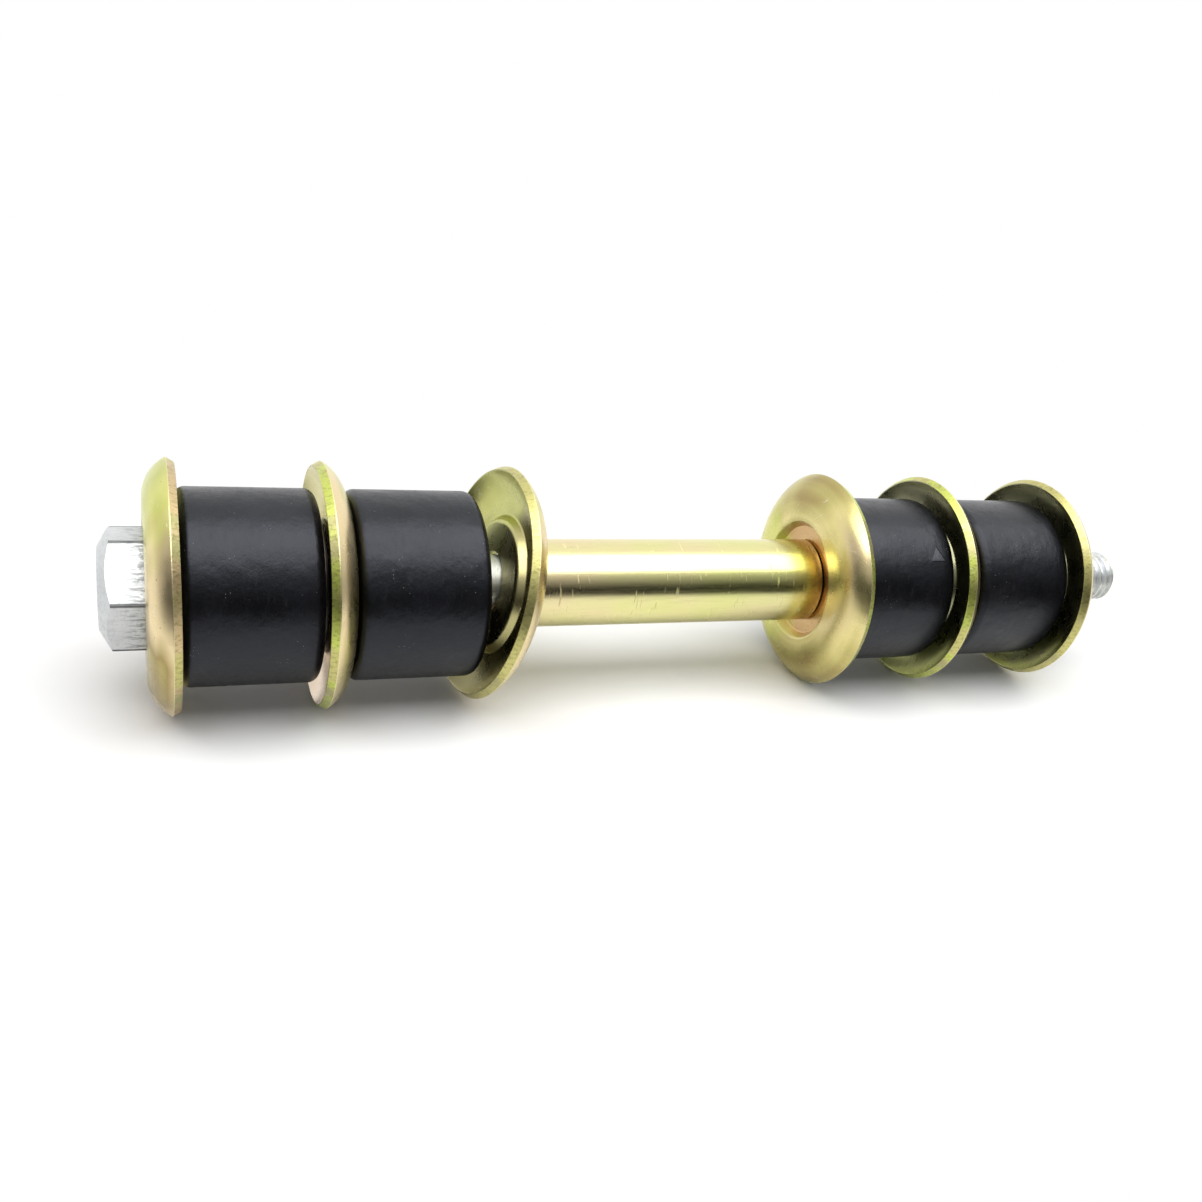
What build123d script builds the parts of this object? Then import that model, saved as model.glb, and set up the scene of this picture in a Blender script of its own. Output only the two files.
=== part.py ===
# Anti-roll bar end link: one long bolt carrying six dished washers, four rubber
# bushings and a spacer sleeve, closed by a hexagon nut.
#
# Units are millimetres. The bolt lies along +X from its head to its thread end, +Z is up,
# and the origin is on the bolt axis halfway between the two ends of the bolt.
# Stations along the bolt are first counted from the face under the head.

import os
from math import cos, radians, sin, tan

from build123d import *

# ---- driving dimensions ----

# bolt and nut, M10 x 1.5 with 17 mm across flats
THREAD_D = 10.0
PITCH = 1.5
SHANK_D = 9.9
BOLT_LENGTH = 189.0          # under the head to the tip
THREAD_LENGTH = 33.0
HEX_FLATS = 17.0
HEX_BEVEL_DEG = 28.0
HEAD_HEIGHT = 8.0
HEAD_FACE_D = 12.8           # round flat on the end of the head, inside its deep bevel
HEAD_TURN_DEG = 21.0
NUT_HEIGHT = 8.0
NUT_FACE_D = 16.2
NUT_TURN_DEG = 20.0
NUT_BORE_D = 10.1
NUT_MOUTH = 0.5              # countersink at each end of the nut's bore
TIP_CHAMFER = 1.0
THREAD_DEPTH_SHARE = 0.613   # depth of the 60 degree thread over its pitch
THREAD_HALF_ANGLE = 30.0
THREAD_TRIM = 0.1            # how far the trimming shape clears the crests
RIDGE_SUNK = 0.05            # how deep the ridge is rooted in the core

# dished washer, stamped from plate: convex side outwards, recess for the head, nut or sleeve
WASHER_D = 40.0
PLATE = 1.7
DISH_HEIGHT = 3.5            # rim corner to the flat ring on the convex side
RECESS_DEPTH = 1.6
RECESS_FLOOR_R = 10.2
RECESS_MOUTH_R = 11.2
RING_R = 13.8                # where the flat ring turns down into the flange
BOSS_TOP_R = 10.9
BOSS_BASE_R = 11.9
LIP_R = 19.2                 # inner corner of the cut edge
LIP_DROP = 1.4
WASHER_HOLE_D = 11.0
RECESS_CORNER = 0.3
RECESS_ROUND = 0.6
BOSS_CORNER = 0.5
BOSS_ROUND = 1.0
RIM_ROUND = 0.15

# rubber bushing
BUSHING_D = 31.2
BUSHING_BODY = 20.7
BUSHING_NOSE_D = 20.4
BUSHING_NOSE = 1.1
BUSHING_BORE_D = 10.6
BUSHING_ROUND = 1.5
BUSHING_NOSE_ROUND = 0.3

# spacer sleeve
SLEEVE_D = 15.3
SLEEVE_BORE_D = 10.5
SLEEVE_LENGTH = 58.8
SLEEVE_CHAMFER = 0.4

# play between neighbours on the bolt
METAL_PLAY = 0.05
NUT_PLAY = 0.1
SLEEVE_PLAY = 0.2
RUBBER_PLAY = 0.3

# the washer between the inner bushing and the sleeve hangs loose and leans on the bushing
LEAN_DEG = 12.0              # its top leans towards +X
LEAN_TURN_DEG = 17.0         # how far round towards -Y the side that leans most lies from the top
LEAN_ROOM_BEFORE = 2.1       # bushing nose to the rim plane of the leaning washer, upright
LEAN_ROOM_AFTER = 3.6        # that plane to the end of the sleeve
NUT_WASHER_SLACK = 1.5       # how far the nut bushing stands off the washer behind it

# ---- derived dimensions ----

FLOOR = DISH_HEIGHT - RECESS_DEPTH       # rim corner to the recess floor
BOSS_TOP = FLOOR - PLATE                 # rim corner to the top of the boss inside the dish
BUSHING_LENGTH = BUSHING_BODY + 2 * BUSHING_NOSE
MID_BOLT = (BOLT_LENGTH - HEAD_HEIGHT) / 2


def stations():
    """Where each piece sits, counted from the face under the head."""
    at = {}
    at["head_washer"] = METAL_PLAY + FLOOR
    at["head_bushing"] = at["head_washer"] - BOSS_TOP + RUBBER_PLAY
    nose_end = at["head_bushing"] + BUSHING_LENGTH
    at["lower_middle_washer"] = nose_end + RUBBER_PLAY - BOSS_TOP
    crest = at["lower_middle_washer"] + DISH_HEIGHT
    at["lower_inner_bushing"] = crest + RUBBER_PLAY - BUSHING_NOSE
    nose_end = at["lower_inner_bushing"] + BUSHING_LENGTH
    at["lower_spacer_washer"] = nose_end + LEAN_ROOM_BEFORE
    at["spacer_sleeve"] = at["lower_spacer_washer"] + LEAN_ROOM_AFTER
    sleeve_end = at["spacer_sleeve"] + SLEEVE_LENGTH
    at["upper_spacer_washer"] = sleeve_end + SLEEVE_PLAY + FLOOR
    at["upper_inner_bushing"] = at["upper_spacer_washer"] - BOSS_TOP + RUBBER_PLAY
    nose_end = at["upper_inner_bushing"] + BUSHING_LENGTH
    at["upper_middle_washer"] = nose_end + RUBBER_PLAY - BOSS_TOP
    crest = at["upper_middle_washer"] + DISH_HEIGHT
    at["nut_bushing"] = crest + RUBBER_PLAY + NUT_WASHER_SLACK - BUSHING_NOSE
    nose_end = at["nut_bushing"] + BUSHING_LENGTH
    at["nut_washer"] = nose_end + RUBBER_PLAY - BOSS_TOP
    at["nut"] = at["nut_washer"] + FLOOR + NUT_PLAY
    return at


def place(piece, station):
    """Move a piece made at its own zero to its station in the part's frame."""
    return Pos(station - MID_BOLT, 0, 0) * piece


def turned(outline):
    """A solid of revolution about the bolt axis from an outline in x and radius."""
    return revolve(outline, Axis.X)


def rod(radius, length):
    """A plain round rod along the bolt axis from x = 0."""
    from_start = (Align.CENTER, Align.CENTER, Align.MIN)
    return Rot(0, 90, 0) * Cylinder(radius, length, align=from_start)


def corner_at(outline, point):
    """The one corner of an outline at a point."""
    return outline.vertices().sort_by_distance((point[0], point[1], 0))[0]


def washer():
    """A dished washer, convex towards +X, with the outer corner of its rim at x = 0."""
    floor_edge = (FLOOR, RECESS_FLOOR_R)
    mouth = (DISH_HEIGHT, RECESS_MOUTH_R)
    ring_edge = (DISH_HEIGHT, RING_R)
    rim = (0, WASHER_D / 2)
    lip = (-LIP_DROP, LIP_R)
    inner_ring_edge = (DISH_HEIGHT - PLATE, RING_R)
    boss_base = (DISH_HEIGHT - PLATE, BOSS_BASE_R)
    boss_edge = (BOSS_TOP, BOSS_TOP_R)
    hole_r = WASHER_HOLE_D / 2
    with BuildSketch() as section:
        with BuildLine():
            Polyline((BOSS_TOP, hole_r), (FLOOR, hole_r), floor_edge, mouth, ring_edge)
            TangentArc(ring_edge, rim, tangent=(0, 1))
            Line(rim, lip)
            TangentArc(inner_ring_edge, lip, tangent=(0, 1))
            Polyline(inner_ring_edge, boss_base, boss_edge, (BOSS_TOP, hole_r))
        make_face()
    outline = section.sketch
    for point, radius in (
        (floor_edge, RECESS_CORNER),
        (mouth, RECESS_ROUND),
        (boss_base, BOSS_CORNER),
        (boss_edge, BOSS_ROUND),
        (rim, RIM_ROUND),
        (lip, RIM_ROUND),
    ):
        outline = fillet(corner_at(outline, point), radius)
    return turned(outline)


def leaning_washer(station):
    """The loose washer beside the sleeve, leaning over about the middle of its hole."""
    hole_middle = station + (FLOOR + BOSS_TOP) / 2 - MID_BOLT
    turn = radians(LEAN_TURN_DEG)
    hinge = Axis((hole_middle, 0, 0), (0, cos(turn), sin(turn)))
    return place(washer(), station).rotate(hinge, LEAN_DEG)


def bushing():
    """A rubber bushing from x = 0, a straight drum with a low nose on each end."""
    body_r = BUSHING_D / 2
    nose_r = BUSHING_NOSE_D / 2
    bore_r = BUSHING_BORE_D / 2
    body_start = BUSHING_NOSE
    body_end = BUSHING_NOSE + BUSHING_BODY
    outline = make_face(
        Polyline(
            (0, bore_r),
            (0, nose_r),
            (body_start, nose_r),
            (body_start, body_r),
            (body_end, body_r),
            (body_end, nose_r),
            (BUSHING_LENGTH, nose_r),
            (BUSHING_LENGTH, bore_r),
            close=True,
        )
    )
    for x in (body_start, body_end):
        outline = fillet(corner_at(outline, (x, body_r)), BUSHING_ROUND)
    for x in (0, BUSHING_LENGTH):
        outline = fillet(corner_at(outline, (x, nose_r)), BUSHING_NOSE_ROUND)
    return turned(outline)


def sleeve():
    """The plain steel tube between the two inner washers, from x = 0."""
    tube = Cylinder(SLEEVE_D / 2, SLEEVE_LENGTH) - Cylinder(SLEEVE_BORE_D / 2, SLEEVE_LENGTH)
    tube = chamfer(tube.edges().filter_by(GeomType.CIRCLE), SLEEVE_CHAMFER)
    return Pos(SLEEVE_LENGTH / 2, 0, 0) * Rot(0, 90, 0) * tube


def bevelled(height, face_r):
    """The turned shape that a hexagon keeps after a conical bevel at x = height."""
    corner_r = HEX_FLATS / 2 / cos(radians(30))
    wide_r = corner_r + 1
    rise = (wide_r - face_r) * tan(radians(HEX_BEVEL_DEG))
    return turned(
        make_face(
            Polyline(
                (0, 0),
                (0, wide_r),
                (height - rise, wide_r),
                (height, face_r),
                (height, 0),
                close=True,
            )
        )
    )


def hexagon(height, turn_deg):
    """A plain hexagonal prism from x = 0."""
    corner_r = HEX_FLATS / 2 / cos(radians(30))
    prism = extrude(RegularPolygon(corner_r, 6), height)
    return Rot(turn_deg, 0, 0) * Rot(0, 90, 0) * prism


def end_for_end(piece, length):
    """A piece of this length from x = 0, turned end for end in the same place."""
    return Pos(length, 0, 0) * Rot(0, 0, 180) * piece


def threaded_end():
    """The end of the bolt with its helical 60 degree ridge, trimmed by the chamfered tip."""
    major_r = THREAD_D / 2
    depth = THREAD_DEPTH_SHARE * PITCH
    minor_r = major_r - depth
    half_crest = PITCH / 16
    half_base = half_crest + (depth + RIDGE_SUNK) * tan(radians(THREAD_HALF_ANGLE))
    start = BOLT_LENGTH - THREAD_LENGTH
    overrun = THREAD_LENGTH + 2 * PITCH
    path = Helix(PITCH, overrun, minor_r, center=(start, 0, 0), direction=(1, 0, 0))
    begin = path @ 0
    outwards = Vector(0, begin.Y, begin.Z).normalized()
    across = Plane(origin=begin, x_dir=(1, 0, 0), z_dir=Vector(1, 0, 0).cross(outwards))
    outline = across * make_face(
        Polyline(
            (-half_base, -RIDGE_SUNK),
            (half_base, -RIDGE_SUNK),
            (half_crest, depth),
            (-half_crest, depth),
            close=True,
        )
    )
    ridge = sweep(outline, path, is_frenet=True)
    core = Pos(start, 0, 0) * rod(minor_r, overrun)
    envelope = turned(
        make_face(
            Polyline(
                (start, 0),
                (start, minor_r),
                (start + PITCH, major_r + THREAD_TRIM),
                (BOLT_LENGTH - TIP_CHAMFER - THREAD_TRIM, major_r + THREAD_TRIM),
                (BOLT_LENGTH, major_r - TIP_CHAMFER),
                (BOLT_LENGTH, 0),
                close=True,
            )
        )
    )
    return (core + ridge) & envelope


def bolt():
    """The long bolt, from the end of its head to its tip."""
    shank = rod(SHANK_D / 2, BOLT_LENGTH - THREAD_LENGTH)
    bevel = end_for_end(bevelled(HEAD_HEIGHT, HEAD_FACE_D / 2), HEAD_HEIGHT)
    head = Pos(-HEAD_HEIGHT, 0, 0) * (hexagon(HEAD_HEIGHT, HEAD_TURN_DEG) & bevel)
    return head + shank + threaded_end()


def nut():
    """The hexagon nut, from x = 0."""
    bore_r = NUT_BORE_D / 2
    mouth_r = bore_r + NUT_MOUTH
    bore = turned(
        make_face(
            Polyline(
                (0, 0),
                (0, mouth_r),
                (NUT_MOUTH, bore_r),
                (NUT_HEIGHT - NUT_MOUTH, bore_r),
                (NUT_HEIGHT, mouth_r),
                (NUT_HEIGHT, 0),
                close=True,
            )
        )
    )
    bevel = bevelled(NUT_HEIGHT, NUT_FACE_D / 2)
    body = hexagon(NUT_HEIGHT, NUT_TURN_DEG) & bevel & end_for_end(bevel, NUT_HEIGHT)
    return body - bore


def pieces():
    """Every piece of the link in its place, by name."""
    at = stations()
    made = {"bolt": place(bolt(), 0), "nut": place(nut(), at["nut"])}
    made["spacer_sleeve"] = place(sleeve(), at["spacer_sleeve"])
    for name in ("head_washer", "upper_spacer_washer"):
        made[name] = place(end_for_end(washer(), 0), at[name])
    for name in ("lower_middle_washer", "upper_middle_washer", "nut_washer"):
        made[name] = place(washer(), at[name])
    made["lower_spacer_washer"] = leaning_washer(at["lower_spacer_washer"])
    for name in ("head_bushing", "lower_inner_bushing", "upper_inner_bushing", "nut_bushing"):
        made[name] = place(bushing(), at[name])
    return made


os.makedirs("parts", exist_ok=True)
for name, piece in pieces().items():
    export_step(piece, f"parts/{name}.step")
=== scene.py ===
"""Anti-roll bar end link: materials, floor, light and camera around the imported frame."""
import math
from collections import namedtuple

import bpy
from mathutils import Matrix, Vector

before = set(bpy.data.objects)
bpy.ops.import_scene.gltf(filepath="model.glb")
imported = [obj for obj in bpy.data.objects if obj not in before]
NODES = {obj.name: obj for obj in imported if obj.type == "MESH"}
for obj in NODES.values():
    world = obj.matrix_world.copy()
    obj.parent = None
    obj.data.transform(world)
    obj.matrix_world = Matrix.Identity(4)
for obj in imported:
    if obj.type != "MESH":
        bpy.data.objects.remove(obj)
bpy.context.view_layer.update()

# the loose washer's lean: how far it tips, and the line through its centre that it tips about
LEAN = math.radians(12)
LEAN_TURN = math.radians(17)
LEAN_CENTRE = (-0.0367, 0, 0)
LEAN_AXIS = (0, math.cos(LEAN_TURN), math.sin(LEAN_TURN))

# tints of the yellow plating, as linear colours
STRAW = (0.68, 0.59, 0.26)
BRONZE = (0.34, 0.26, 0.10)
OLIVE = (0.50, 0.44, 0.17)
GREEN = (0.56, 0.62, 0.14)
PEACH = (0.76, 0.62, 0.36)
PINK = (0.74, 0.61, 0.50)
COPPER = (0.60, 0.36, 0.18)
SAGE = (0.36, 0.37, 0.24)
MOSS = (0.42, 0.39, 0.18)
TAN = (0.60, 0.46, 0.25)
HAY = (0.54, 0.50, 0.19)
BROWN = (0.10, 0.08, 0.04)
SHEAR_SHADOW = (0.20, 0.19, 0.06)
# a painted highlight for the corners of the cut edge
CORNER_HIGHLIGHT = (0.82, 0.76, 0.46)
HAIRLINE = (0.84, 0.80, 0.62)
TUBE_PEACH = (0.74, 0.62, 0.36)
TUBE_STRAW = (0.72, 0.66, 0.34)
TUBE_GREEN = (0.68, 0.68, 0.28)
# a painted reflection of the washers' recesses at the tube's ends
TUBE_END_REFLECTION = (0.58, 0.38, 0.17)
TUBE_DRAWN = (0.46, 0.40, 0.16)

# the clear zinc of the bolt and the nut
ZINC_DULL = (0.64, 0.66, 0.67)
ZINC = (0.74, 0.76, 0.77)
ZINC_BRIGHT = (0.80, 0.81, 0.82)
ZINC_DRAGGED = (0.38, 0.40, 0.41)
ZINC_HEAD = (0.45, 0.46, 0.46)
ZINC_DARK_STREAK = (0.20, 0.21, 0.21)
# a painted dark reflection for the hex corners
ZINC_CORNER_DARK_REFLECTION = (0.05, 0.05, 0.05)

# the rubber
BLACK = (0.001, 0.001, 0.001)
SOOT = (0.002, 0.002, 0.003)
CLOUDY = (0.006, 0.006, 0.007)
DUST = (0.30, 0.30, 0.31)
SCUFF_GREY = (0.16, 0.16, 0.17)
# a painted highlight for the nick
NICK_HIGHLIGHT_GREY = (0.06, 0.06, 0.07)
COOL_SHEEN = (0.84, 0.88, 1.0, 1.0)

# start: the rim plane's station in mm; way: which way along the bolt the convex side faces;
# then the tints of the convex side, the hollow side and the cut edge; green: how far round from
# +Y to +Z the green patch lies, in degrees
Washer = namedtuple("Washer", "start way face hollow edge green")
WASHERS = {
    "head_washer": Washer(-88.55, -1, BRONZE, STRAW, TAN, 80),
    "lower_middle_washer": Washer(-65.45, 1, PEACH, PINK, GREEN, 60),
    "lower_spacer_washer": Washer(-37.75, 1, STRAW, MOSS, HAY, 50),
    "upper_spacer_washer": Washer(26.75, -1, STRAW, STRAW, GREEN, -25),
    "upper_middle_washer": Washer(49.85, 1, STRAW, SAGE, GREEN, -110),
    "nut_washer": Washer(77.05, 1, STRAW, SAGE, HAY, -100),
}
# the station in mm where each bushing starts
BUSHINGS = {
    "head_bushing": -88.45,
    "lower_inner_bushing": -62.75,
    "upper_inner_bushing": 26.85,
    "nut_bushing": 54.05,
}

# Where a mark fades in, as (nothing, full) in mm. Radii are from the bolt axis. Stations are from
# the rim plane of a washer, towards its convex side, and along the whole link for the rest.
WASHER_EDGE_RADIUS = (19.88, 19.96)
WASHER_EDGE_SLOPE = 0.571           # the cut edge is square to the sloping plate
WASHER_BEHIND_RIM = (0.03, -0.03)
WASHER_OUTER_CORNER = (-0.16, -0.06)
WASHER_INNER_CORNER = (-1.22, -1.32)
WASHER_RECESS_RADIUS = (11.3, 10.3)
HEAD_STATION = (-88.0, -89.0)
HEAD_SEAT = (-96.0, -92.5)
HEX_CORNER_RADIUS = (9.58, 9.70)
TUBE_MIDDLE = -4.75
TUBE_ENDS = (25.0, 29.5)            # from the tube's middle

# the nick in the upper inner bushing: its place along and round the drum, and the drum's radius
NICK_STATION = 17.8
NICK_ANGLE = math.radians(41)
BUSHING_RADIUS = 15.6

FLOOR_HALF = 0.4
FLOOR_LEVEL = -0.02
FLOOR_OVAL = (0.25, 0.12)           # half-axes of the oval in which the floor shows

# the surroundings: the direction away from the camera, and how bright they are
AWAY = (0.10, 0.99, 0.0)
DIM_SIDE, BRIGHT_SIDE, OVERHEAD = 0.02, 1.2, 0.9
MATT_FILL = 0.45
GROUND_WHITE = 1.0


# ---- node helpers ----

class Nodes:
    """A node tree and short ways to add and wire its nodes."""

    def __init__(self, tree):
        self.tree = tree
        self.tree.nodes.clear()

    def put(self, socket, value):
        if isinstance(value, bpy.types.NodeSocket):
            self.tree.links.new(value, socket)
        else:
            socket.default_value = value

    def node(self, kind, inputs=(), **settings):
        n = self.tree.nodes.new(kind)
        for key, value in settings.items():
            setattr(n, key, value)
        for key, value in dict(inputs).items():
            self.put(n.inputs[key], value)
        return n

    def math(self, operation, a, b=0.0):
        return self.node("ShaderNodeMath", {0: a, 1: b}, operation=operation).outputs[0]

    def plus(self, a, b):
        return self.math("ADD", a, b)

    def minus(self, a, b):
        return self.math("SUBTRACT", a, b)

    def times(self, a, b):
        return self.math("MULTIPLY", a, b)

    def span(self, value, low, high, to_low=0.0, to_high=1.0, curve="SMOOTHSTEP"):
        ends = {"From Min": low, "From Max": high, "To Min": to_low, "To Max": to_high}
        n = self.node("ShaderNodeMapRange", {"Value": value, **ends}, interpolation_type=curve)
        return n.outputs[0]

    def blend(self, fac, a, b):
        """From number a to number b as fac goes from 0 to 1."""
        return self.node("ShaderNodeMix", {0: fac, 2: a, 3: b}, data_type="FLOAT").outputs[0]

    def vector(self, x, y, z):
        return self.node("ShaderNodeCombineXYZ", {0: x, 1: y, 2: z}).outputs[0]

    def part(self, vector, axis):
        return self.node("ShaderNodeSeparateXYZ", {0: vector}).outputs[axis]

    def vector_math(self, operation, a, b, result="Vector"):
        n = self.node("ShaderNodeVectorMath", {0: a, 1: b}, operation=operation)
        return n.outputs[result]

    def length(self, vector):
        n = self.node("ShaderNodeVectorMath", {0: vector}, operation="LENGTH")
        return n.outputs["Value"]


Place = namedtuple("Place", "point along y z radius")


class Look(Nodes):
    """One material, with the coordinates and patterns that several of them share."""

    def __init__(self, name):
        self.material = bpy.data.materials.new(name)
        self.material.use_nodes = True
        super().__init__(self.material.node_tree)
        self.out = self.node("ShaderNodeOutputMaterial")
        self.shader = self.node("ShaderNodeBsdfPrincipled")
        self.put(self.out.inputs[0], self.shader.outputs[0])

    def around(self, start=0.0, way=1, lean=0.0):
        """A point, its place along the bolt and its radius, in the piece's own frame and in mm."""
        point = self.node("ShaderNodeTexCoord").outputs["Object"]
        if lean:
            upright = {"Vector": point, "Center": LEAN_CENTRE, "Axis": LEAN_AXIS, "Angle": -lean}
            n = self.node("ShaderNodeVectorRotate", upright, rotation_type="AXIS_ANGLE")
            point = n.outputs[0]
        n = self.node("ShaderNodeVectorMath", {0: point, "Scale": 1000.0}, operation="SCALE")
        point = n.outputs[0]
        x, y, z = (self.part(point, axis) for axis in range(3))
        along = self.times(self.minus(x, start), float(way))
        return Place(point, along, y, z, self.length(self.vector(0.0, y, z)))

    def shifted(self, point, seed):
        """The same coordinates moved along, so that no two pieces share a pattern."""
        return self.vector_math("ADD", point, (seed * 37.0, seed * 11.0, seed * 5.0))

    def stretched(self, at, along, across=1.0):
        """Coordinates scaled along and across the bolt, for brush marks and scuffs."""
        y, z = at.y, at.z
        if across != 1.0:
            y, z = self.times(y, across), self.times(z, across)
        return self.vector(self.times(at.along, along), y, z)

    def facing(self, axis):
        """One part of the surface's direction, in the piece's own coordinates."""
        return self.part(self.node("ShaderNodeTexCoord").outputs["Normal"], axis)

    def noise(self, vector, scale, detail=4.0, rough=0.55, distortion=0.0):
        wires = {"Vector": vector, "Scale": scale, "Detail": detail}
        wires.update({"Roughness": rough, "Distortion": distortion})
        return self.node("ShaderNodeTexNoise", wires).outputs["Fac"]

    def cells(self, vector, scale):
        n = self.node("ShaderNodeTexVoronoi", {"Vector": vector, "Scale": scale})
        return n.outputs["Distance"]

    def ramp(self, fac, *stops):
        n = self.node("ShaderNodeValToRGB", {"Fac": fac})
        band = n.color_ramp
        while len(band.elements) < len(stops):
            band.elements.new(0.5)
        for element, (place, colour) in zip(band.elements, stops):
            element.position = place
            element.color = (*colour, 1.0)
        return n.outputs[0]

    def mix(self, fac, a, b):
        """From colour a to colour b as fac goes from 0 to 1; a constant b has three numbers."""
        b = (*b, 1.0) if isinstance(b, tuple) else b
        return self.node("ShaderNodeMix", {0: fac, 6: a, 7: b}, data_type="RGBA").outputs[2]

    def bump(self, height, distance, strength, normal=None):
        wires = {"Height": height, "Distance": distance, "Strength": strength}
        if normal:
            wires["Normal"] = normal
        return self.node("ShaderNodeBump", wires).outputs[0]

    def scratches(self, point, scale):
        """Hairlines: the zero crossings of a stretched noise, kept only here and there."""
        turned = {"Vector": point, "Angle": 0.9}
        slanted = self.node("ShaderNodeVectorRotate", turned, rotation_type="X_AXIS").outputs[0]
        drawn_out = self.vector_math("MULTIPLY", slanted, (1.0, 0.12, 1.0))
        wave = self.noise(drawn_out, scale, 1.0, 0.5)
        line = self.span(self.math("ABSOLUTE", self.minus(wave, 0.5)), 0.008, 0.002)
        kept = self.span(self.noise(point, 0.35, 1.0, 0.5), 0.60, 0.66)
        return self.times(line, kept)

    def done(self, tint, roughness, normal, metal=True):
        self.put(self.shader.inputs["Base Color"], tint)
        self.put(self.shader.inputs["Roughness"], roughness)
        self.put(self.shader.inputs["Normal"], normal)
        self.shader.inputs["Metallic"].default_value = 1.0 if metal else 0.0
        return self.material


# ---- materials ----

def yellow_zinc(name, washer, lean, seed):
    """Stamped steel washer under yellow chromate: drifting tints, scratches, a sheared edge."""
    m = Look(name)
    at = m.around(washer.start, washer.way, lean)
    point = m.shifted(at.point, seed)

    # tints that drift round the plate, and in rings
    rings = m.noise(m.vector(m.times(at.radius, 0.28), seed * 7.0, 0.0), 1.0, 2.0, 0.5)
    drift = m.blend(0.35, m.noise(point, 0.055, 2.0, 0.4, 0.4), rings)
    tint = m.ramp(drift, (0.34, BRONZE), (0.43, OLIVE), (0.50, washer.face), (0.60, PEACH))
    inside = m.span(m.times(m.facing(0), float(washer.way)), 0.1, -0.1)
    outside = m.minus(1.0, inside)
    tint = m.mix(m.times(inside, 0.85), tint, washer.hollow)
    recess = m.times(m.span(at.radius, *WASHER_RECESS_RADIUS), outside)
    tint = m.mix(m.times(recess, 0.75), tint, COPPER)

    # the green patch, towards one side with a ragged border
    turn = math.radians(washer.green)
    lobe = m.plus(m.times(at.y, math.cos(turn)), m.times(at.z, math.sin(turn)))
    lobe = m.math("DIVIDE", lobe, m.math("MAXIMUM", at.radius, 1.0))
    ragged = m.noise(m.shifted(at.point, seed + 9), 0.10, 2.0, 0.5)
    verdant = m.span(m.plus(lobe, m.times(ragged, 1.4)), 1.15, 1.60)
    tint = m.mix(m.times(verdant, m.blend(inside, 0.7, 0.45)), tint, GREEN)

    # the cut edge: bands of tint, shear marks across it, and a painted highlight along its corners
    gap = m.plus(at.radius, m.times(at.along, -WASHER_EDGE_SLOPE))
    rim = m.times(m.span(gap, *WASHER_EDGE_RADIUS), m.span(at.along, *WASHER_BEHIND_RIM))
    tooth = m.noise(m.stretched(at, 0.25), 2.3, 3.0, 0.75)
    band = m.noise(m.stretched(at, 0.1), 0.11, 2.0, 0.5)
    cut = m.ramp(band, (0.38, HAY), (0.46, washer.edge), (0.54, washer.edge), (0.62, MOSS))
    cut = m.mix(m.span(tooth, 0.50, 0.66, 0.0, 0.6), cut, SHEAR_SHADOW)
    outer, inner = m.span(at.along, *WASHER_OUTER_CORNER), m.span(at.along, *WASHER_INNER_CORNER)
    # painted highlight: both corners of the cut edge are lightened as if they caught the light
    cut = m.mix(m.times(m.math("MAXIMUM", outer, inner), 0.6), cut, CORNER_HIGHLIGHT)
    tint = m.mix(rim, tint, cut)

    # specks in clusters on the convex side, and hairlines
    clusters = m.times(m.span(m.noise(point, 0.25, 2.0), 0.58, 0.66), outside)
    speck = m.times(m.span(m.cells(point, 0.9), 0.14, 0.06), clusters)
    tint = m.mix(m.times(speck, 0.7), tint, BROWN)
    scratch = m.scratches(point, 0.55)
    tint = m.mix(m.times(scratch, 0.45), tint, HAIRLINE)

    haze = m.noise(point, 0.3, 3.0, 0.5)
    roughness = m.plus(m.span(haze, 0.35, 0.7, 0.26, 0.33), m.times(rim, 0.08))
    roughness = m.plus(roughness, m.times(scratch, 0.15))
    waves = m.times(m.noise(point, 0.35, 2.0, 0.4), outside)
    normal = m.bump(waves, 0.00004, 0.12)
    normal = m.bump(m.times(tooth, rim), 0.00006, 0.6, normal)
    normal = m.bump(scratch, 0.00002, 0.5, normal)
    normal = m.bump(m.minus(1.0, speck), 0.00003, 0.5, normal)
    return m.done(tint, roughness, normal)


def yellow_tube(name):
    """Drawn tube under yellow chromate, with short marks round it and a painted brown reflection of
    the washers near both ends.
    """
    m = Look(name)
    at = m.around()
    drift = m.noise(m.stretched(at, 0.5), 0.09, 3.0, 0.5)
    tint = m.ramp(drift, (0.32, TUBE_PEACH), (0.46, TUBE_STRAW), (0.62, TUBE_GREEN))
    # painted reflection: both ends turn brown as if they mirrored the washers' recesses
    ends = m.span(m.math("ABSOLUTE", m.minus(at.along, TUBE_MIDDLE)), *TUBE_ENDS)
    tint = m.mix(m.times(ends, 0.55), tint, TUBE_END_REFLECTION)
    mark = m.span(m.noise(m.stretched(at, 2.4, 0.28), 0.75, 2.0, 0.5), 0.66, 0.72)
    drawn = m.noise(m.stretched(at, 0.05), 3.0, 4.0, 0.6)
    tint = m.mix(m.span(drawn, 0.5, 0.75, 0.0, 0.22), tint, TUBE_DRAWN)
    roughness = m.plus(m.span(drawn, 0.3, 0.7, 0.20, 0.27), m.times(mark, 0.28))
    normal = m.bump(m.noise(at.point, 2.4, 4.0, 0.65), 0.00002, 0.25)
    normal = m.bump(drawn, 0.00002, 0.25, normal)
    normal = m.bump(mark, 0.00002, 0.4, normal)
    return m.done(tint, roughness, normal)


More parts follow.
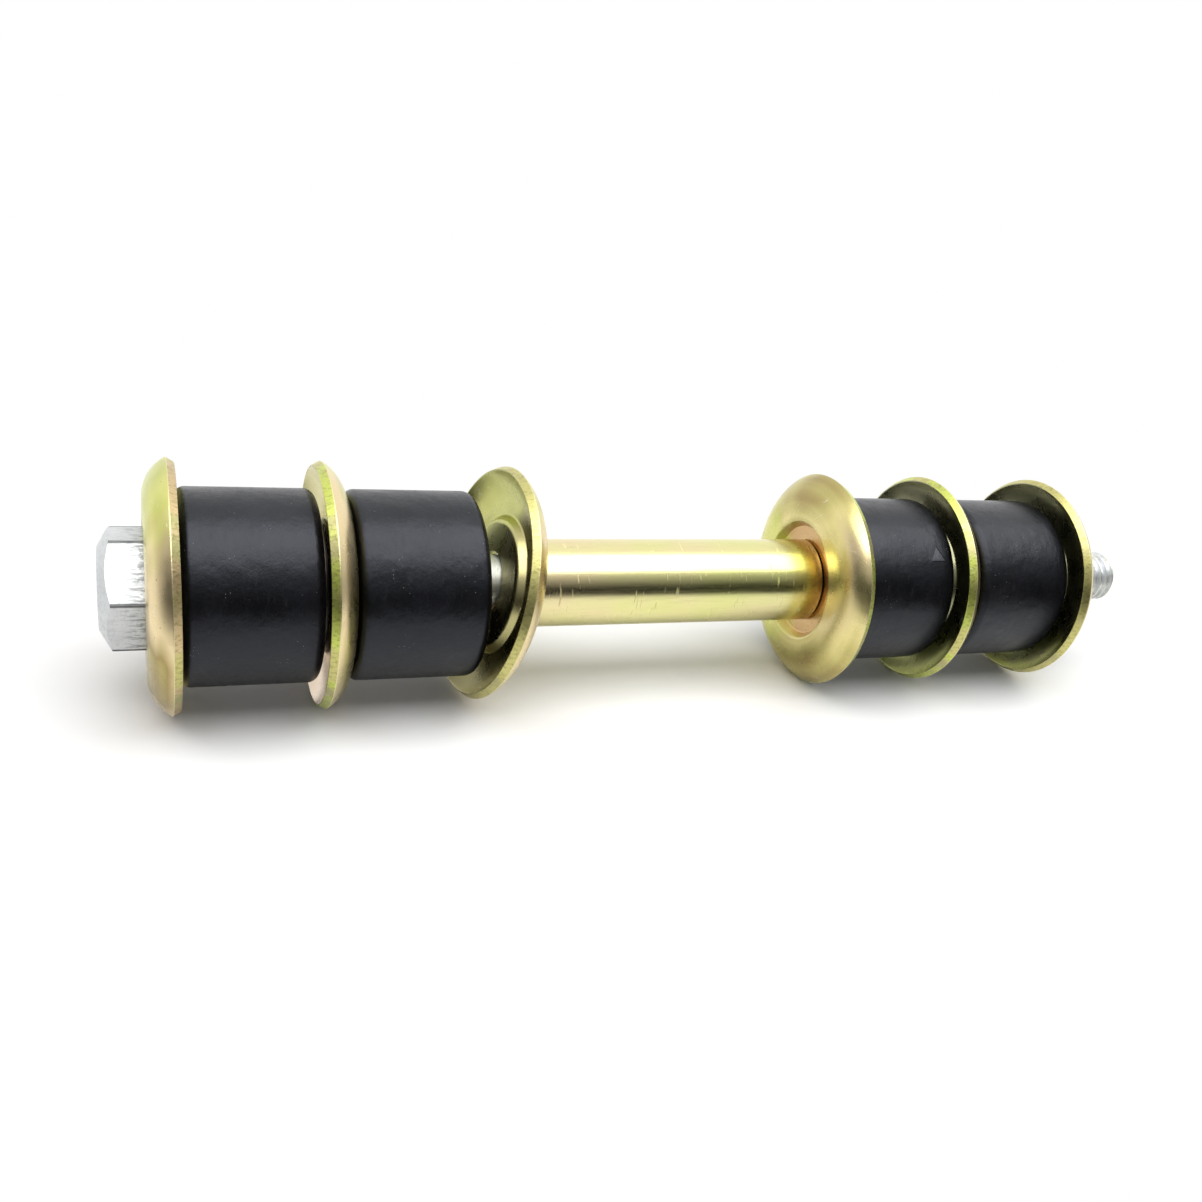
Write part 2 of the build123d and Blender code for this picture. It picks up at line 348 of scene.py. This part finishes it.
def clear_zinc(name):
    """Bright zinc plate over cold-formed steel: pale, satin, finely brushed, with a painted dark
    reflection along the hex corners.
    """
    m = Look(name)
    at = m.around()
    cloud = m.noise(at.point, 0.3, 5.0, 0.6)
    tint = m.ramp(cloud, (0.3, ZINC_DULL), (0.5, ZINC), (0.72, ZINC_BRIGHT))
    brushed = m.noise(m.stretched(at, 0.25), 3.2, 3.0, 0.7)
    dragged = m.noise(m.stretched(at, 3.0), 1.1, 3.0, 0.7)
    tint = m.mix(m.span(dragged, 0.52, 0.68, 0.0, 0.45), tint, ZINC_DRAGGED)

    # the head is duller, with dark streaks that run along its flats and grow denser towards its
    # washer
    head = m.span(at.along, *HEAD_STATION)
    tint = m.mix(m.times(head, 0.45), tint, ZINC_HEAD)
    dark_streaks = m.span(m.noise(m.stretched(at, 0.22), 1.9, 3.0, 0.7), 0.48, 0.60)
    dark_streaks = m.times(dark_streaks, m.blend(m.span(at.along, *HEAD_SEAT), 0.12, 0.75))
    tint = m.mix(m.times(dark_streaks, head), tint, ZINC_DARK_STREAK)
    # painted reflection: the hex corners are darkened as if they mirrored the dark surroundings in
    # rounded edges
    tint = m.mix(m.span(at.radius, *HEX_CORNER_RADIUS, 0.0, 0.85), tint, ZINC_CORNER_DARK_REFLECTION)

    normal = m.bump(brushed, 0.00003, 0.35)
    normal = m.bump(m.noise(at.point, 1.6, 4.0, 0.6), 0.00004, 0.35, normal)
    return m.done(tint, m.span(brushed, 0.3, 0.7, 0.34, 0.50), normal)


def nick(m, at):
    """A small three-cornered nick near a bushing's far end, on its upper front."""
    angle = m.minus(m.math("ARCTAN2", at.z, m.times(at.y, -1.0)), NICK_ANGLE)
    up = m.times(angle, BUSHING_RADIUS)
    side = m.math("ABSOLUTE", m.minus(at.along, NICK_STATION))
    room = m.minus(m.times(m.minus(1.7, up), 0.55), side)
    return m.times(m.span(room, 0.0, 0.25), m.span(up, -1.5, -1.3))


def rubber(name, start, seed, nicked):
    """Moulded black rubber: satin, cloudy, with faint scuffs round it and pale specks."""
    m = Look(name)
    at = m.around(start)
    point = m.shifted(at.point, seed)
    cloud = m.noise(point, 0.14, 4.0, 0.6)
    tint = m.ramp(cloud, (0.35, BLACK), (0.6, SOOT), (0.8, CLOUDY))
    clusters = m.span(m.noise(point, 0.25, 2.0), 0.55, 0.63)
    dust = m.times(m.span(m.cells(point, 1.5), 0.12, 0.05), clusters)
    tint = m.mix(m.times(dust, 0.7), tint, DUST)
    scuff = m.noise(m.shifted(m.stretched(at, 1.6, 0.35), seed), 1.0, 4.0, 0.7)
    tint = m.mix(m.span(scuff, 0.6, 0.8, 0.0, 0.06), tint, SCUFF_GREY)

    roughness = m.plus(m.span(cloud, 0.3, 0.7, 0.30, 0.39), m.span(scuff, 0.5, 0.75, 0.0, 0.10))
    normal = m.bump(m.noise(point, 2.6, 5.0, 0.7), 0.00005, 0.5)
    normal = m.bump(scuff, 0.00010, 0.35, normal)
    if nicked:
        cut = nick(m, at)
        # the nick is bumped into the rubber; its lighter grey is a painted highlight
        tint = m.mix(m.times(cut, 0.8), tint, NICK_HIGHLIGHT_GREY)
        normal = m.bump(cut, 0.0003, 0.8, normal)
    normal = m.bump(m.noise(point, 0.35, 3.0, 0.5), 0.0004, 0.35, normal)
    m.shader.inputs["Specular IOR Level"].default_value = 0.42
    m.shader.inputs["Specular Tint"].default_value = COOL_SHEEN
    return m.done(tint, roughness, normal, metal=False)


def dress(node, material):
    mesh = NODES[node].data
    mesh.materials.clear()
    mesh.materials.append(material)


for seed, (name, washer) in enumerate(WASHERS.items()):
    lean = LEAN if name == "lower_spacer_washer" else 0.0
    dress(name, yellow_zinc("yellow_zinc_" + name, washer, lean, seed))
for seed, (name, start) in enumerate(BUSHINGS.items()):
    dress(name, rubber("rubber_" + name, start, seed, name == "upper_inner_bushing"))
dress("spacer_sleeve", yellow_tube("yellow_zinc_tube"))
zinc = clear_zinc("clear_zinc")
dress("bolt", zinc)
dress("nut", zinc)


# ---- floor, light and surroundings ----

def link(name, data):
    thing = bpy.data.objects.new(name, data)
    bpy.context.scene.collection.objects.link(thing)
    return thing


def floor():
    """A pale sheet that fades out into the white round it."""
    mesh = bpy.data.meshes.new("floor")
    ways = ((-1, -1), (1, -1), (1, 1), (-1, 1))
    corners = [(x * FLOOR_HALF, y * FLOOR_HALF, FLOOR_LEVEL) for x, y in ways]
    mesh.from_pydata(corners, [], [(0, 1, 2, 3)])
    m = Look("floor")
    place = m.node("ShaderNodeTexCoord").outputs["Object"]
    pale = m.ramp(m.noise(place, 40.0), (0.3, (0.86, 0.86, 0.86)), (0.7, (0.88, 0.88, 0.88)))
    m.put(m.shader.inputs["Base Color"], pale)
    m.shader.inputs["Roughness"].default_value = 0.6
    m.shader.inputs["Specular IOR Level"].default_value = 0.3
    oval = m.vector_math("MULTIPLY", place, (1 / FLOOR_OVAL[0], 1 / FLOOR_OVAL[1], 0.0))
    shown = m.span(m.length(oval), 1.0, 0.5)
    gone = m.node("ShaderNodeBsdfTransparent")
    sheet = {0: shown, 1: gone.outputs[0], 2: m.shader.outputs[0]}
    m.put(m.out.inputs[0], m.node("ShaderNodeMixShader", sheet).outputs[0])
    mesh.materials.append(m.material)
    link("floor", mesh)


def softbox(place, target, width, depth, radiance):
    """A soft light overhead, out of the camera's sight."""
    lamp = bpy.data.lights.new("top_softbox", "AREA")
    lamp.shape = "RECTANGLE"
    lamp.size, lamp.size_y = width, depth
    lamp.energy = radiance * math.pi * width * depth
    thing = link("top_softbox", lamp)
    thing.location = place
    thing.rotation_mode = "QUATERNION"
    thing.rotation_quaternion = (Vector(target) - Vector(place)).to_track_quat("-Z", "Y")
    thing.visible_camera = False


def surroundings():
    """White for the eye, dim on the camera's side in reflections, an even fill on matt surfaces."""
    world = bpy.data.worlds.new("surroundings")
    bpy.context.scene.world = world
    world.use_nodes = True
    w = Nodes(world.node_tree)
    direction = w.node("ShaderNodeTexCoord").outputs["Generated"]
    away = w.vector_math("DOT_PRODUCT", direction, AWAY, "Value")
    back = w.span(away, -0.45, 0.35, DIM_SIDE, BRIGHT_SIDE)
    above = w.span(w.part(direction, 2), 0.15, 0.80, 0.0, OVERHEAD, "LINEAR")
    ray = w.node("ShaderNodeLightPath").outputs
    unseen = w.blend(ray["Is Diffuse Ray"], w.math("MAXIMUM", back, above), MATT_FILL)
    seen = w.blend(ray["Is Camera Ray"], unseen, GROUND_WHITE)
    glow = w.node("ShaderNodeBackground", {"Color": (1, 1, 1, 1), "Strength": seen})
    w.node("ShaderNodeOutputWorld", {"Surface": glow.outputs[0]})


floor()
softbox(place=(0.0, -0.20, 0.6), target=(0.0, -0.20, 0.0), width=1.2, depth=0.60, radiance=3.0)
surroundings()


# ---- camera ----

def camera():
    """The photograph's viewing angle. The link lies level here, so the camera takes the roll."""
    lens = bpy.data.cameras.new("camera")
    lens.sensor_width = 36.0
    lens.lens = 35.34
    lens.shift_x, lens.shift_y = -0.020, 0.0332
    lens.clip_start, lens.clip_end = 0.01, 50.0
    forward = Vector((0.384, 0.817, -0.430)).normalized()
    right = forward.cross(Vector((0.031, 0.454, 0.891))).normalized()
    up = right.cross(forward)
    turn = Matrix((right, up, -forward)).transposed().to_4x4()
    thing = link("camera", lens)
    thing.matrix_world = Matrix.Translation((-0.0937, -0.1777, 0.0815)) @ turn
    bpy.context.scene.camera = thing


camera()
bpy.context.scene.view_settings.view_transform = "Standard"
